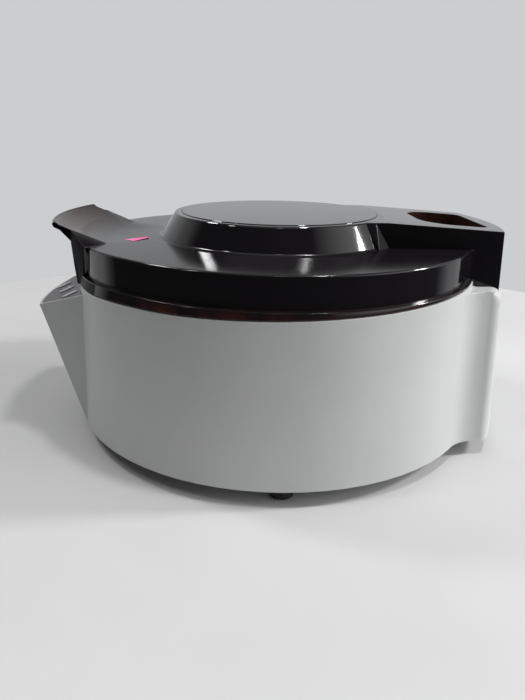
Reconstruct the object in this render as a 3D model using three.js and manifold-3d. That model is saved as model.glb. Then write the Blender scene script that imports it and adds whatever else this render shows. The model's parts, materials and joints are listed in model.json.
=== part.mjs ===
// Benchtop centrifuge: a drum-shaped housing with a front control wedge and a rear hinge pod, a smoked
// lid with a raised dome and a bridge to the hinge, and a swing-out rotor for six tubes.
// Millimetres, +Z up. The control panel faces -Y, the hinge is at +Y, and z = 0 is the bench.
import * as THREE from 'three';
import { mergeVertices } from 'three/addons/utils/BufferGeometryUtils.js';
import { ConvexGeometry } from 'three/addons/geometries/ConvexGeometry.js';
import Module from 'manifold-3d';

const wasm = await Module();
wasm.setup();

// General clearances and section counts
const fitGap = 0.3;               // between pieces that rest on each other
const runGap = 1;                 // beside pieces that move
const overrun = 5;                // how far a cutting shape passes the face that it cuts
const drumSteps = 72;
const innerSteps = 44;
const roundSteps = 32;
const smallSteps = 12;
const pinSteps = 12;
const coilSteps = 8;
const arcSteps = 5;
const cornerSteps = 3;
const degree = Math.PI / 180;

// Drum of the housing
const benchGap = 12;              // bottom edge of the housing above the bench
const baseRadius = 174.6;         // drum at its bottom edge
const rimInset = 9.2;
const rimRadius = baseRadius - rimInset;          // drum at the lid seam
const rimHeight = 131.5;          // lid seam over the drum axis
const seamTilt = 1.33 * degree;   // the seam rises towards the hinge
const wall = 3;
const rimFlare = 4.2;              // how far the seam swells out on both sides of the front
const lidFlare = 4.4;             // the same at the top edge of the lid
const flareFull = 27 * degree;    // angle from the front where the swelling is full
const flareNone = 52 * degree;    // angle from the front where it has faded away
const shelfHeight = 122;          // inner shelf that carries the bowl
const shelfThickness = 4;
const mouthInset = 3.9;
const mouthRadius = rimRadius - mouthInset;        // inside of the rim above the shelf

// Rear pod of the housing
const podHalfWidth = 98;           // at the bottom edge
const podSideLean = 19;           // how much narrower it is at the deck, on each side
const podReach = 19.9;
const podBaseRadius = baseRadius + podReach;      // rear wall at the bottom edge, about the drum axis
const podLean = 7.1;
const podTopRadius = podBaseRadius - podLean;       // rear wall below its rounded top edge
const deckHeight = 131;
const deckEdgeRadius = 8.5;
const podFilletRadius = 30;       // hollow corner between drum and pod
const podCornerRadius = 9;
const rootShare = 0.7;            // where pod and wedge outlines close inside the drum

// Front wedge with the control panel
const wedgeTopHalf = 70.2;        // half width where it leaves the drum, at the top
const wedgeNoseHalf = 50.8;       // half width at the front corners
const wedgeReach = 21.2;
const wedgeNoseY = baseRadius + wedgeReach;         // front corners
const wedgeNoseBulge = 7.2;       // the front edge bows out by this much
const wedgeBaseHalf = 72;
const panelStartInset = 20.6;
const panelStartY = baseRadius - panelStartInset;          // where the height of the panel plane is given
const panelHeight = 122;
const panelSlope = Math.atan(0.32);
const panelBorder = 2.6;
const panelThickness = 1.2;
const panelWall = 4;
const consoleReach = wedgeNoseY + wedgeNoseBulge;

// Push buttons on the panel
const buttonCount = 3;
const buttonLength = 15.3;
const buttonWidth = 6.4;
const buttonProud = 0.9;
const buttonDepth = 6;
const buttonTravel = 1;
const buttonRowX = 19.6;          // middle button
const buttonRowInset = 13.9;
const buttonRowY = wedgeNoseY - buttonRowInset;
const buttonPitchX = 28.9;
const buttonPitchY = 11.2;
const buttonTurn = 149 * degree;

// Control board below the panel
const boardThickness = 1.6;
const controlBoardInset = 8;
const switchSide = 5;
const switchOffset = 2.5;         // from the middle of a button along its length, towards the drum
const postRadius = 2.5;
const boardPostX = 37;
const boardPostInset = 11.8;
const boardPostY = wedgeNoseY - boardPostInset;

// Chamber bowl, guard ring and gasket
const bowlMargin = 13.5;
const bowlRadius = mouthRadius - bowlMargin;
const bowlThickness = 2.5;
const bowlFlangeWidth = 7;
const bowlFlangeRadius = bowlRadius + bowlFlangeWidth;
const bowlFlangeThickness = 2;
const bowlFloor = 32.5;           // inside floor
const bowlFillet = 8;
const humpRadius = 38.5;
const humpTop = 94;
const humpHoleRadius = 9;
const guardInset = 2.2;
const guardInnerRadius = bowlFlangeRadius - guardInset;
const guardThickness = 2.5;
const gasketInset = 1.2;
const gasketInnerRadius = guardInnerRadius - gasketInset;
const gasketWidth = 3.2;
const gasketHeight = 5.2;

// Base plate and feet
const plateThickness = 2.8;
const footRadius = 9;
const footTopRadius = 7.5;
const footInset = 17.1;
const footCircle = baseRadius - footInset;
const footCount = 4;
const ventLength = 34;
const ventWidth = 4;
const ventCircle = 100;
const ventCount = 10;

// Motor
const motorRadius = 31.5;
const motorTop = 80;
const motorBossRadius = 12;
const motorBossTop = 87;
const motorPlateRadius = 62;
const motorPlateThickness = 2.5;
const damperRadius = 7;
const damperHeight = 5;
const damperCircle = 50;
const damperCount = 3;
const shaftRadius = 4;
const shaftBottom = 74;

// Rotor
const holderCount = 6;
const pivotCircle = 58;
const pivotHeight = 113;
const spiderRadius = 68;
const spiderTop = 118;
const spiderThickness = 14;
const hubRadius = 17;
const hubBottom = 97;
const slotHalfWidth = 14;
const slotInset = 5;              // round inner end of a slot, inwards of the pivot circle
const pinRadius = 2.4;
const pinReach = 18.3;            // end of a holder's pin from its middle
const knobRadius = 17;
const knobTop = 146;
const knobBore = 8;
const fluteCount = 8;
const fluteRadius = 4.5;

// Tube holders
const holderDrop = 76;            // pivot to the closed end
const holderRise = 10;            // pivot to the open end
const holderRadius = 10.8;
const holderBore = 8.6;
const holderCollarRadius = 12.5;
const holderCollarDrop = 6;
const holderEndThickness = 2.5;
const cushionThickness = 4;

// Lid
const lidTop = 160.3;
const lidInset = 5.2;
const lidRadius = rimRadius - lidInset;
const lidEdge = 1.5;
const stepHeight = 137.5;         // ledge between the lid skirt and its wider rim
const stepProud = 0.4;
const stepRadius = lidRadius + stepProud;
const ledgeInset = 1.1;
const ledgeRadius = rimRadius - ledgeInset;
const ledgeDrop = 0.7;
const lidThickness = 3.4;
const seamGap = 0.6;
const domeBaseRadius = 100;
const domeBaseFillet = 3.5;
const domeTopRadius = 88.4;
const domeRise = 19.4;
const domeTop = lidTop + domeRise;
const domeEdge = 1.2;
const discRadius = 83;
const discThickness = 1.5;
const discProud = 0.5;

// Bridge from the dome to the hinge
const bridgeHalf = 60.2;
const bridgeStartY = 45;
const bridgeTopY = 72.5;          // where the height of the top plane is given
const bridgeRise = 0.6;
const bridgeTop = domeTop + bridgeRise;
const bridgeSlope = Math.atan(0.0602);
const bridgeEndTopInset = 4.1;
const bridgeEndTopRadius = podTopRadius - bridgeEndTopInset;
const bridgeEndBaseInset = 1.4;
const bridgeEndBaseRadius = podTopRadius - bridgeEndBaseInset;
const bridgeFilletRadius = 6;

// Hand recess in the bridge
const recessLength = 53;
const recessRearInset = 14.3;
const recessRearY = bridgeEndTopRadius - recessRearInset;
const recessFrontY = recessRearY - recessLength;
const recessHalf = 41;
const recessFrontCorner = 25;
const recessRearCorner = 9;
const recessFloorFront = 172;
const recessFloorRear = 163;

// Grip lip and latch prow at the front of the lid
const lipHalf = 60.3;
const rampStartInset = 11.7;
const rampStartRadius = lidRadius - rampStartInset;
const rampEndReach = 21.3;
const rampEndRadius = lidRadius + rampEndReach;
const rampRise = 14.2;
const rampEndHeight = lidTop + rampRise;
const lipReach = 26.1;
const lipRadius = lidRadius + lipReach;
const beadRise = 2.1;
const beadHeight = rampEndHeight + beadRise;
const prowTopReach = 13.5;
const prowTopRadius = lidRadius + prowTopReach;
const prowTopRise = 1.7;
const prowTopHeight = lidTop + prowTopRise;
const prowMiddleReach = 12.2;
const prowMiddleRadius = lidRadius + prowMiddleReach;
const prowMiddleRise = 3;
const prowMiddleHeight = stepHeight + prowMiddleRise;
const prowBaseReach = 10.2;
const prowBaseRadius = lidRadius + prowBaseReach;
const lipRootInset = 24.5;
const lipRootY = lidRadius - lipRootInset;           // where the side of the lip leaves the flat of the lid
const lipSpreadX = 75.4;          // where that side reaches the rim of the lid
const lipSpreadInset = 11.1;
const lipSpreadY = lidRadius - lipSpreadInset;
const lipSpreadBaseX = 62;        // the same at the bottom edge of the lid
const lipSpreadBaseInset = 6.2;
const lipSpreadBaseY = lidRadius - lipSpreadBaseInset;
const lipFoldReach = 3.8;
const lipFoldY = lidRadius + lipFoldReach;             // fold between that side and the upright side of the lip, at the ramp
const lipFoldBaseInset = 1.8;
const lipFoldBaseY = lidRadius - lipFoldBaseInset;       // the same at the bottom edge of the lid

// Lid liner
const linerHoleRadius = 84;
const linerInset = 4.4;
const linerRadius = lidRadius - linerInset;
const linerThickness = 2.6;
const linerBottom = 130.4;

// Hinge
const hingeInset = 14.4;
const hingeY = podTopRadius - hingeInset;
const hingeHeight = 137.5;
const hingeBayRadius = 18;
const hingeBayHalf = bridgeHalf + runGap;
const hingePinRadius = 4;
const hingePinHalf = 31;
const knuckleRadius = 5.7;
const earThickness = 4;
const bracketFootRear = 2 * degree;  // rear end of the arc that its foot rests on, past straight down
const bracketFootFront = -22 * degree;
const bracketNeck = 20 * degree;  // where its rear edge leaves the knuckle, past straight down
const lidSwing = 75;              // degrees that the lid opens
const fixedEarX = 27;             // middle of a fixed bracket
const lidEarX = 20;               // middle of an ear of the lid's hinge arm
const hingePlateHalf = 30;
const hingePlateFrontInset = 13;
const hingePlateFront = hingeY - hingePlateFrontInset;
const hingePlateRearReach = 4.5;
const hingePlateRear = hingeY + hingePlateRearReach;
const hingePlateTop = 158.4;
const hingePlateThickness = 3;
const springTurns = 5;
const springWire = 0.9;
const springRadius = 5.6;
const springPitch = 2.4;

// Latch
const strikeInset = 4.3;
const strikeY = mouthRadius - strikeInset;
const strikeThickness = 2.5;
const strikeHalf = 10;
const strikeFoot = 81;            // lowest point of the strike
const strikeFlange = 5.2;
const strikeSwing = 4.8;          // how far it swings forward while it leaves the shelf
const boltHeight = 88;
const boltHalfWidth = 4;
const boltHalfHeight = 3;
const boltReach = 3.7;
const boltTipY = strikeY + boltReach;
const boltLength = 10.8;
const plungerRadius = 3;
const plungerLength = 12;
const solenoidRadius = 8;
const solenoidLength = 19;
const latchPlateReach = 8;
const latchPlateY = strikeY + latchPlateReach;
const latchPlateHalf = 14;
const latchPlateThickness = 2.5;
const latchBaseDepth = 25;
const latchPlateRise = 24;        // above the base that carries the solenoid
const latchFootDepth = 7;
const latchWindow = 1.2;          // clearance round the bolt and in the strike's window

// Rear recess with the power inlet and its switch
const rearFaceInset = 10.5;
const rearFaceY = podBaseRadius - rearFaceInset;
const rearHalfWidth = 45;
const rearBottom = 28;
const rearTop = 72;
const inletX = -14;
const inletHeight = 50;
const inletFlangeWidth = 48;
const inletFlangeHeight = 24;
const inletBodyWidth = 30;
const inletBodyHeight = 22;
const inletBodyDepth = 20;
const inletCavityDepth = 15;
const flangeThickness = 2;
const inletPinWidth = 2;
const inletPinHeight = 4;
const inletPinPitch = 7;
const rockerX = 28;
const rockerFrameWidth = 19;
const rockerFrameHeight = 30;
const rockerBodyWidth = 14;
const rockerBodyHeight = 25;
const rockerBodyDepth = 16;
const rockerHalfHeight = 10.5;
const rockerHalfWidth = 5;
const rockerTilt = 9 * degree;
const rockerCavityDepth = 11;
const slitCount = 4;
const slitPitch = 8;
const slitStartX = -52;           // on the side away from the switch
const slitWidth = 3;
const slitBottom = 40;
const slitTop = 96;

// Power board under the bowl
const powerBoardLength = 64;
const powerBoardWidth = 46;
const powerBoardInset = 70.6;
const powerBoardX = powerBoardInset - baseRadius;
const powerBoardLift = 3;
const capacitorRadius = 5;
const capacitorHeight = 8;
const transformerSide = 18;
const transformerHeight = 7;

// Values worked out from the sizes above
const drumTaper = (baseRadius - rimRadius) / (rimHeight - benchGap);
const podTaper = (podBaseRadius - podTopRadius) / (deckHeight - benchGap);
const podSideTaper = podSideLean / (deckHeight - benchGap);
const cutSize = baseRadius * 4;
const ceiling = lidTop - lidThickness;
const shelfUnder = shelfHeight - shelfThickness;
const plateTop = benchGap + fitGap + plateThickness;
const motorPlateBottom = plateTop + damperHeight;
const motorBottom = motorPlateBottom + motorPlateThickness + fitGap;
const bowlRimTop = shelfHeight + fitGap + bowlFlangeThickness;

// Turns a closed three.js geometry into a solid for joining and cutting
function toSolid(geometry) {
  const bare = geometry.clone();
  bare.deleteAttribute('normal');
  bare.deleteAttribute('uv');
  const merged = mergeVertices(bare);
  const position = merged.attributes.position;
  const index = merged.index.array;
  const kept = [];
  let volume = 0;
  const corners = [new THREE.Vector3(), new THREE.Vector3(), new THREE.Vector3()];
  for (let i = 0; i < index.length; i += 3) {
    const [a, b, c] = [index[i], index[i + 1], index[i + 2]];
    if (a === b || b === c || c === a) continue;
    kept.push(a, b, c);
    [a, b, c].forEach((corner, k) => corners[k].fromBufferAttribute(position, corner));
    volume += corners[0].dot(corners[1].cross(corners[2]));
  }
  if (volume < 0) {
    for (let i = 0; i < kept.length; i += 3) [kept[i], kept[i + 1]] = [kept[i + 1], kept[i]];
  }
  const vertProperties = new Float32Array(position.array);
  return new wasm.Manifold(new wasm.Mesh({ numProp: 3, vertProperties, triVerts: new Uint32Array(kept) }));
}

// Turns a solid back into a three.js geometry
function toGeometry(solid) {
  const mesh = solid.getMesh();
  const geometry = new THREE.BufferGeometry();
  geometry.setAttribute('position', new THREE.BufferAttribute(new Float32Array(mesh.vertProperties), 3));
  geometry.setIndex(new THREE.BufferAttribute(new Uint32Array(mesh.triVerts), 1));
  geometry.computeVertexNormals();
  return geometry;
}

function join(...solids) {
  return solids.reduce((total, solid) => total.add(solid));
}

function cut(solid, ...tools) {
  return tools.reduce((rest, tool) => rest.subtract(tool), solid);
}

// Box from its lowest to its highest corner
function box(low, high) {
  const size = high.map((value, k) => value - low[k]);
  const middle = high.map((value, k) => (value + low[k]) / 2);
  return toSolid(new THREE.BoxGeometry(...size).translate(...middle));
}

// Body of revolution about Z from pairs of radius and height
function latheGeometry(profile, steps) {
  const points = profile.map(([radius, height]) => new THREE.Vector2(radius, height));
  return new THREE.LatheGeometry(points, steps).rotateX(Math.PI / 2);
}

function revolve(profile, steps = roundSteps) {
  return toSolid(latheGeometry(profile, steps));
}

// Closed ring of revolution
function revolveRing(profile, steps = roundSteps) {
  return revolve([...profile, profile[0]], steps);
}

function disc(radius, low, high, steps = roundSteps) {
  return revolve([[0, low], [radius, low], [radius, high], [0, high]], steps);
}

// Straight rod along X
function rodX(radius, fromX, toX, y, z, steps = pinSteps) {
  const rod = new THREE.CylinderGeometry(radius, radius, toX - fromX, steps);
  return toSolid(rod.rotateZ(Math.PI / 2).translate((fromX + toX) / 2, y, z));
}

// Straight rod along Y
function rodY(radius, fromY, toY, x, z, steps = pinSteps) {
  const rod = new THREE.CylinderGeometry(radius, radius, toY - fromY, steps);
  return toSolid(rod.translate(x, (fromY + toY) / 2, z));
}

// Prism that stands on a flat outline of x and y pairs
function prism(outline, low, high) {
  const shape = new THREE.Shape(outline.map(([x, y]) => new THREE.Vector2(x, y)));
  const geometry = new THREE.ExtrudeGeometry(shape, { depth: high - low, bevelEnabled: false });
  return toSolid(geometry.translate(0, 0, low));
}

// Prism along X from an outline of y and z pairs
function prismX(outline, fromX, toX) {
  const shape = new THREE.Shape(outline.map(([y, z]) => new THREE.Vector2(y, z)));
  const geometry = new THREE.ExtrudeGeometry(shape, { depth: toX - fromX, bevelEnabled: false });
  geometry.rotateY(Math.PI / 2).rotateX(Math.PI / 2);
  return toSolid(geometry.translate(fromX, 0, 0));
}

// Skin over rings of points that all have the same count, closed with flat ends
function loft(rings) {
  const count = rings[0].length;
  const flat = rings[0].map(([x, y]) => new THREE.Vector2(x, y));
  if (THREE.ShapeUtils.isClockWise(flat)) return loft(rings.map((ring) => [...ring].reverse()));
  const caps = THREE.ShapeUtils.triangulateShape(flat, []);
  const index = [];
  const last = (rings.length - 1) * count;
  for (const [a, b, c] of caps) {
    index.push(c, b, a);
    index.push(last + a, last + b, last + c);
  }
  for (let level = 0; level < rings.length - 1; level += 1) {
    for (let i = 0; i < count; i += 1) {
      const a = level * count + i;
      const b = level * count + (i + 1) % count;
      index.push(a, b, b + count, a, b + count, a + count);
    }
  }
  const geometry = new THREE.BufferGeometry();
  geometry.setAttribute('position', new THREE.Float32BufferAttribute(rings.flat(2), 3));
  geometry.setIndex(index);
  return toSolid(geometry);
}

// Points on an arc, both ends included
function arc(centreX, centreY, radius, fromAngle, toAngle, steps) {
  return Array.from({ length: steps + 1 }, (unused, i) => {
    const angle = fromAngle + (toAngle - fromAngle) * i / steps;
    return [centreX + radius * Math.cos(angle), centreY + radius * Math.sin(angle)];
  });
}

function mirrorX(outline) {
  return outline.map(([x, y]) => [-x, y]).reverse();
}

// How far the skin swells out at a place near the front
function flareAt(x, y, z) {
  const fromFront = Math.abs(Math.atan2(x, -y));
  const share = THREE.MathUtils.smoothstep(-fromFront, -flareNone, -flareFull);
  const below = THREE.MathUtils.clamp((z - benchGap) / (rimHeight - benchGap), 0, 1);
  const above = THREE.MathUtils.clamp((z - rimHeight) / (lidTop - rimHeight), 0, 1);
  return share * (rimFlare * below + (lidFlare - rimFlare) * above);
}

// Body of revolution whose skin swells out beside the front
function revolveFlared(profile, steps = drumSteps) {
  const geometry = latheGeometry(profile, steps);
  const position = geometry.attributes.position;
  for (let i = 0; i < position.count; i += 1) {
    const [x, y, z] = [position.getX(i), position.getY(i), position.getZ(i)];
    const stretch = 1 + flareAt(x, y, z) / rimRadius;
    position.setXYZ(i, x * stretch, y * stretch, z);
  }
  return toSolid(geometry);
}

// Everything above the tilted seam plane, raised by lift
function aboveSeam(lift) {
  const block = new THREE.BoxGeometry(cutSize, cutSize, cutSize).translate(0, 0, cutSize / 2);
  return toSolid(block.rotateX(seamTilt).translate(0, 0, rimHeight + lift));
}

function drumRadiusAt(z) {
  return baseRadius - drumTaper * (z - benchGap);
}

// Drum with its wall set in, from one height to another
function drumSolid(inset, low, high) {
  return revolveFlared([
    [0, low], [drumRadiusAt(low) - inset, low], [drumRadiusAt(high) - inset, high], [0, high],
  ]);
}

// Plan of the rear pod at one height, closed inside the drum
function podOutline(inset, rearInset, z) {
  const drum = drumRadiusAt(z) - inset;
  const half = podHalfWidth - podSideTaper * (z - benchGap) - inset;
  const hollow = podFilletRadius + inset;
  const hollowX = half + hollow;
  const hollowY = Math.sqrt((drum + hollow) ** 2 - hollowX ** 2);
  const towardsDrum = Math.atan2(hollowY, hollowX) + Math.PI;
  const rear = podBaseRadius - podTaper * (z - benchGap) - inset - rearInset;
  const corner = Math.max(podCornerRadius - inset - rearInset, fitGap);
  const cornerX = half - corner;
  const cornerY = Math.sqrt((rear - corner) ** 2 - cornerX ** 2);
  const cornerEnd = Math.atan2(cornerY, cornerX);
  const side = [
    ...arc(hollowX, hollowY, hollow, towardsDrum, Math.PI, arcSteps),
    ...arc(cornerX, cornerY, corner, 0, cornerEnd, arcSteps),
  ];
  const back = arc(0, 0, rear, cornerEnd, Math.PI - cornerEnd, 4 * arcSteps).slice(1, -1);
  const root = [[side[0][0], side[0][1] * rootShare]];
  const outline = [...root, ...side];
  return [...outline, ...back, ...mirrorX(outline)];
}

// Rear pod with a rounded rear top edge
function podSolid(inset, low, high, edge) {
  const rings = [podOutline(inset, 0, low).map((point) => [...point, low])];
  for (let i = 0; i <= arcSteps; i += 1) {
    const angle = (i / arcSteps) * (Math.PI / 2);
    const z = high - edge * (1 - Math.sin(angle));
    rings.push(podOutline(inset, edge * (1 - Math.cos(angle)), z).map((point) => [...point, z]));
  }
  return loft(rings);
}

// Plan of the front wedge: its top edge, with the wall set in
function wedgeTopOutline(inset) {
  const bulge = (wedgeNoseHalf ** 2 + wedgeNoseBulge ** 2) / (2 * wedgeNoseBulge);
  const half = wedgeNoseHalf - inset;
  const reach = Math.asin(half / bulge);
  const centre = -consoleReach + inset + bulge;
  const nose = arc(0, centre, bulge, -Math.PI / 2 + reach, -Math.PI / 2 - reach, 2 * arcSteps);
  const right = [
    [wedgeTopHalf - inset, -panelStartY * rootShare],
    [wedgeTopHalf - inset, -panelStartY],
  ];
  return [...right, ...nose, ...mirrorX(right)];
}

// Plan of the front wedge at the bottom edge, where it melts into the drum
function wedgeBaseOutline(inset) {
  const radius = baseRadius - inset - fitGap;
  const half = wedgeBaseHalf - inset;
  const reach = Math.asin(half / radius);
  const nose = arc(0, 0, radius, -Math.PI / 2 + reach, -Math.PI / 2 - reach, 2 * arcSteps);
  const right = [
    [half, -panelStartY * rootShare],
    [half + fitGap, nose[0][1] + fitGap],
  ];
  return [...right, ...nose, ...mirrorX(right)];
}

function panelPlane(y) {
  return panelHeight + Math.tan(panelSlope) * (y + panelStartY);
}

// Front wedge with its wall set in and its top dropped below the panel plane
function wedgeSolid(inset, drop) {
  const low = benchGap - (inset > 0 ? overrun : 0);
  const base = wedgeBaseOutline(inset).map(([x, y]) => [x, y, low]);
  const top = wedgeTopOutline(inset).map(([x, y]) => [x, y, panelPlane(y) - drop]);
  return loft([base, top]);
}

// Slab that lies parallel to the panel plane between two depths below it
function panelSlab(upper, lower) {
  const slab = new THREE.BoxGeometry(cutSize, cutSize, lower - upper).translate(0, 0, -(upper + lower) / 2);
  return toSolid(slab.rotateX(panelSlope).translate(0, -panelStartY, panelHeight));
}

// Places a solid made at the origin on the panel plane, turned about its normal
function onPanel(geometry, x, y, turn) {
  geometry.rotateZ(turn).rotateX(panelSlope).translate(x, y, panelPlane(y));
  return geometry;
}

// Capsule-shaped outline along X
function capsuleShape(length, width) {
  const half = (length - width) / 2;
  const shape = new THREE.Shape();
  shape.absarc(half, 0, width / 2, -Math.PI / 2, Math.PI / 2, false);
  shape.absarc(-half, 0, width / 2, Math.PI / 2, 3 * Math.PI / 2, false);
  return shape;
}

// Capsule-shaped prism through the panel, from one depth below it to another
function panelCapsule(index, grow, upper, lower) {
  const shape = capsuleShape(buttonLength + 2 * grow, buttonWidth + 2 * grow);
  const options = { depth: lower - upper, bevelEnabled: false, curveSegments: arcSteps };
  const geometry = new THREE.ExtrudeGeometry(shape, options).translate(0, 0, -lower);
  const [x, y] = buttonPlace(index);
  return toSolid(onPanel(geometry, x, y, buttonTurn));
}

function buttonPlace(index) {
  const offset = index - (buttonCount - 1) / 2;
  return [buttonRowX + offset * buttonPitchX, -buttonRowY + offset * buttonPitchY];
}

// Clear space round the hinge axis
function hingeDrum(radius, half) {
  return rodX(radius, -half, half, hingeY, hingeHeight, roundSteps);
}

// Rear recess: its clear space grown by a wall
function rearBox(grow) {
  return box(
    [-rearHalfWidth - grow, rearFaceY - grow, rearBottom - grow],
    [rearHalfWidth + grow, podBaseRadius + overrun, rearTop + grow],
  );
}

// Plan of the control panel pocket
function panelOutlineSolid(inset, upper, lower) {
  const plan = prism(wedgeTopOutline(inset), benchGap, lidTop);
  const clearOfDrum = drumSolid(panelBorder - inset, benchGap, lidTop);
  return cut(plan.intersect(panelSlab(upper, lower)), clearOfDrum);
}

function housingShell() {
  const margin = deckHeight + overrun + rimFlare;
  const drum = cut(drumSolid(0, benchGap, margin), aboveSeam(0));
  const pod = podSolid(0, benchGap, deckHeight, deckEdgeRadius);
  const outer = join(drum, pod, wedgeSolid(0, 0));
  const rimWall = drum.intersect(disc(cutSize, shelfUnder, lidTop));
  const hollow = cut(
    join(
      drumSolid(wall, benchGap - overrun, shelfUnder),
      podSolid(wall, benchGap - overrun, deckHeight - wall, deckEdgeRadius - wall),
      wedgeSolid(wall, panelWall),
    ),
    rimWall,
    hingeDrum(hingeBayRadius + wall, hingeBayHalf + wall),
    rearBox(wall),
  );
  let shell = cut(
    outer,
    hollow,
    disc(mouthRadius, shelfHeight, lidTop, drumSteps),
    disc(bowlRadius + bowlThickness + 2 * runGap, shelfUnder - overrun, lidTop, drumSteps),
    cut(hingeDrum(hingeBayRadius, hingeBayHalf), drumSolid(0, benchGap, lidTop)),
    rearBox(0),
    panelOutlineSolid(panelBorder, -overrun, panelThickness + fitGap),
    strikeSlot(),
    ...rearCutouts(),
    ...rearSlits(),
  );
  for (let i = 0; i < buttonCount; i += 1) shell = shell.subtract(panelCapsule(i, runGap, -overrun, 2 * panelWall));
  return join(shell, ...boardPosts());
}

// Slot in the shelf for the strike, long enough for its swing
function strikeSlot() {
  return box(
    [-strikeHalf - runGap, -strikeY - strikeThickness - strikeSwing - runGap, shelfUnder - overrun],
    [strikeHalf + runGap, -strikeY + runGap / 2, lidTop],
  );
}

function rearCutouts() {
  const through = [rearFaceY - wall - overrun, rearFaceY + overrun];
  return [
    [inletX, inletBodyWidth, inletBodyHeight],
    [rockerX, rockerBodyWidth, rockerBodyHeight],
  ].map(([x, width, height]) => box(
    [x - width / 2 - fitGap, through[0], inletHeight - height / 2 - fitGap],
    [x + width / 2 + fitGap, through[1], inletHeight + height / 2 + fitGap],
  ));
}

function rearSlits() {
  const slits = [];
  for (let i = 0; i < slitCount; i += 1) {
    const x = slitStartX - i * slitPitch;
    slits.push(box(
      [x - slitWidth / 2, rimRadius, slitBottom],
      [x + slitWidth / 2, podBaseRadius + overrun, slitTop],
    ));
  }
  return slits;
}

// Posts under the panel that hold the control board
function boardPosts() {
  return [-1, 1].map((side) => {
    const post = new THREE.CylinderGeometry(postRadius, postRadius, buttonDepth, smallSteps);
    post.rotateX(Math.PI / 2).translate(0, 0, -panelWall - buttonDepth / 2 + fitGap);
    return toSolid(onPanel(post, side * boardPostX, -boardPostY, 0));
  });
}

function basePlate() {
  const low = benchGap + fitGap;
  const drum = disc(drumRadiusAt(low) - wall - 2 * fitGap, low, plateTop, innerSteps);
  const pod = prism(podOutline(wall + 3 * fitGap, 0, plateTop), low, plateTop);
  let plate = join(drum, pod);
  for (let i = 0; i < ventCount; i += 1) {
    const shape = capsuleShape(ventLength, ventWidth);
    const options = { depth: 2 * overrun + plateThickness, bevelEnabled: false, curveSegments: cornerSteps };
    const vent = new THREE.ExtrudeGeometry(shape, options).translate(ventCircle, 0, low - overrun);
    plate = plate.subtract(toSolid(vent.rotateZ((i + 1 / 2) * 2 * Math.PI / ventCount)));
  }
  return join(plate, ...powerPosts());
}

// Posts on the base plate that hold the power board
function powerPosts() {
  const reachX = powerBoardWidth / 2 - 2 * postRadius;
  const reachY = powerBoardLength / 2 - 2 * postRadius;
  const posts = [];
  for (const x of [-reachX, reachX]) {
    for (const y of [-reachY, reachY]) {
      const post = new THREE.CylinderGeometry(postRadius, postRadius, powerBoardLift, pinSteps);
      post.rotateX(Math.PI / 2).translate(powerBoardX + x, y, plateTop - fitGap + powerBoardLift / 2);
      posts.push(toSolid(post));
    }
  }
  return posts;
}

function foot() {
  const edge = footRadius - footTopRadius;
  return revolve([
    [0, 0], [footTopRadius, 0], [footRadius, edge], [footRadius, benchGap - 2 * edge],
    [footTopRadius, benchGap], [0, benchGap],
  ], smallSteps);
}

function chamberBowl() {
  const outerRadius = bowlRadius + bowlThickness;
  const under = bowlFloor - bowlThickness;
  const humpInner = humpRadius - bowlThickness;
  const cornerIn = arc(bowlRadius - bowlFillet, bowlFloor + bowlFillet, bowlFillet, -Math.PI / 2, 0, cornerSteps);
  const cornerOut = arc(
    bowlRadius - bowlFillet, bowlFloor + bowlFillet, bowlFillet + bowlThickness, 0, -Math.PI / 2, cornerSteps,
  );
  const humpFillet = bowlFillet / 2;
  return revolveRing([
    [humpHoleRadius, humpTop], [humpRadius - humpFillet, humpTop], [humpRadius, humpTop - humpFillet],
    [humpRadius, bowlFloor + humpFillet], [humpRadius + humpFillet, bowlFloor],
    ...cornerIn,
    [bowlRadius, bowlRimTop], [bowlFlangeRadius, bowlRimTop], [bowlFlangeRadius, shelfHeight + fitGap],
    [outerRadius, shelfHeight + fitGap],
    ...cornerOut,
    [humpInner, under], [humpInner, humpTop - bowlThickness], [humpHoleRadius, humpTop - bowlThickness],
  ], innerSteps);
}

function guardRing() {
  const outer = guardInnerRadius + guardThickness;
  const low = plateTop + fitGap;
  const high = shelfUnder - fitGap;
  return revolveRing([[guardInnerRadius, low], [outer, low], [outer, high], [guardInnerRadius, high]], innerSteps);
}

function bowlGasket() {
  const low = bowlRimTop + fitGap;
  const middle = gasketInnerRadius + gasketWidth / 2;
  const shoulder = low + gasketHeight - gasketWidth / 2;
  const crown = arc(middle, shoulder, gasketWidth / 2, 0, Math.PI, cornerSteps);
  return revolveRing([[gasketInnerRadius, low], [gasketInnerRadius + gasketWidth, low], ...crown], innerSteps);
}

function motorBody() {
  return revolve([
    [0, motorBottom], [motorRadius - runGap, motorBottom], [motorRadius, motorBottom + runGap],
    [motorRadius, motorTop - runGap], [motorRadius - runGap, motorTop], [motorBossRadius, motorTop],
    [motorBossRadius, motorBossTop], [shaftRadius + fitGap, motorBossTop],
    [shaftRadius + fitGap, shaftBottom - fitGap], [0, shaftBottom - fitGap],
  ]);
}

// Triangular mounting plate with a rounded corner over each damper
function motorPlate() {
  const corner = motorPlateRadius - damperCircle;
  const outline = [];
  for (let i = 0; i < damperCount; i += 1) {
    const angle = Math.PI / 2 + i * 2 * Math.PI / damperCount;
    const spread = Math.PI / damperCount;
    outline.push(...arc(
      damperCircle * Math.cos(angle), damperCircle * Math.sin(angle), corner, angle - spread, angle + spread, arcSteps,
    ));
  }
  return prism(outline, motorPlateBottom, motorPlateBottom + motorPlateThickness);
}

function motorDamper() {
  const low = plateTop + fitGap;
  const high = motorPlateBottom - fitGap;
  const middle = (low + high) / 2;
  return revolve([
    [0, low], [damperRadius, low], [damperRadius - runGap, middle], [damperRadius, high], [0, high],
  ], smallSteps);
}

function motorShaft() {
  return disc(shaftRadius, shaftBottom, spiderTop + knobBore, smallSteps);
}

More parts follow.
